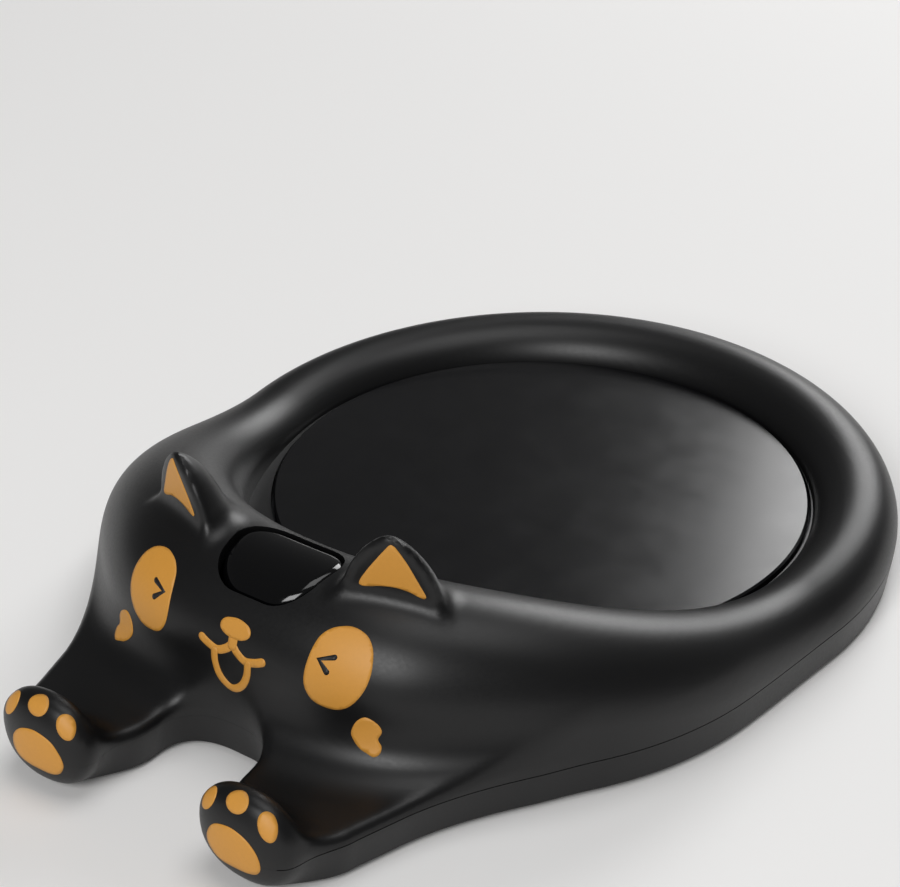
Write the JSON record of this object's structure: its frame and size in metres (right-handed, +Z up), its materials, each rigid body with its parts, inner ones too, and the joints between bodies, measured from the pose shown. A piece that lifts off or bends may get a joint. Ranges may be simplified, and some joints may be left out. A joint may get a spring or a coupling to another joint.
{
  "type": "electric mug warmer",
  "caption": "Desk mug warmer shaped as a lying cat: round heating plate in a rounded ring body, power key between the ears.",
  "frame": {"origin": "centre of the footprint on the table plane, under the feet", "axes": "+Z up, -Y the way the cat faces, +X its left-hand side; the object is symmetric about X = 0 outside"},
  "size_m": [0.1136, 0.1528, 0.0388],
  "materials": {
    "soft_black": "soft-touch black moulding",
    "gloss_black": "glossy tinted lens",
    "plate_black": "black enamelled heating plate",
    "grey_rubber": "soft foot",
    "seal_silicone": "silicone seal",
    "amber_film": "polyimide heater film",
    "white_fibre": "pressed insulation felt",
    "grey_nylon": "glass-filled nylon",
    "foil_aluminium": "rolled foil",
    "spring_steel": "drawn spring wire",
    "screw_steel": "zinc-plated screws",
    "board_green": "solder mask over glass laminate",
    "chip_black": "moulded epoxy",
    "switch_black": "switch housing",
    "plunger_white": "acetal plunger",
    "led_clear": "moulded LED",
    "capacitor_sleeve": "drawn can",
    "socket_white": "nylon socket",
    "tin": "tinned contacts",
    "brass_pin": "turned contact pin",
    "lead_black": "PVC sleeve",
    "lead_white": "silicone sleeve",
    "sensor_epoxy": "epoxy bead",
    "cutoff_ceramic": "ceramic case",
    "orange_ink": "pad-printed ink of the face, ears and soles",
    "black_ink": "pad-printed ink of the closed eyes"
  },
  "bodies": {
    "shell": {"top_cover": "soft_black", "base_cover": "soft_black", "rubber_feet": "grey_rubber", "case_screws": "screw_steel", "heat_shield": "foil_aluminium", "carrier_springs": "spring_steel", "load_switch_body": "switch_black", "tact_switch_body": "switch_black", "control_board": "board_green", "board_screws": "screw_steel", "indicator_leds": "led_clear", "microcontroller": "chip_black", "power_transistor": "chip_black", "capacitor": "capacitor_sleeve", "lead_socket": "socket_white", "dc_inlet_body": "switch_black", "dc_inlet_pin": "brass_pin", "inlet_tabs": "tin", "inlet_leads": "lead_black", "heater_leads": "lead_white"},
    "plate_stack": {"heating_plate": "plate_black", "heater_foil": "amber_film", "insulation_pad": "white_fibre", "plate_gasket": "seal_silicone", "plate_carrier": "grey_nylon", "temperature_sensor": "sensor_epoxy", "thermal_cutoff": "cutoff_ceramic", "load_switch_plunger": "plunger_white"},
    "power_key": {"power_key": "gloss_black", "tact_switch_plunger": "plunger_white"}
  },
  "joints": [
    {"name": "plate_press", "type": "slide", "parent": "shell", "child": "plate_stack", "axis": [0, 0, -1], "range_m": [0, 0.0006], "stiffness_N_per_m": 3600, "springref_m": -0.0005, "deforming": ["carrier_springs", "heater_leads"]},
    {"name": "key_press", "type": "slide", "parent": "shell", "child": "power_key", "axis": [0, 0, -1], "range_m": [0, 0.0005], "stiffness_N_per_m": 2000, "springref_m": -0.0002}
  ]
}
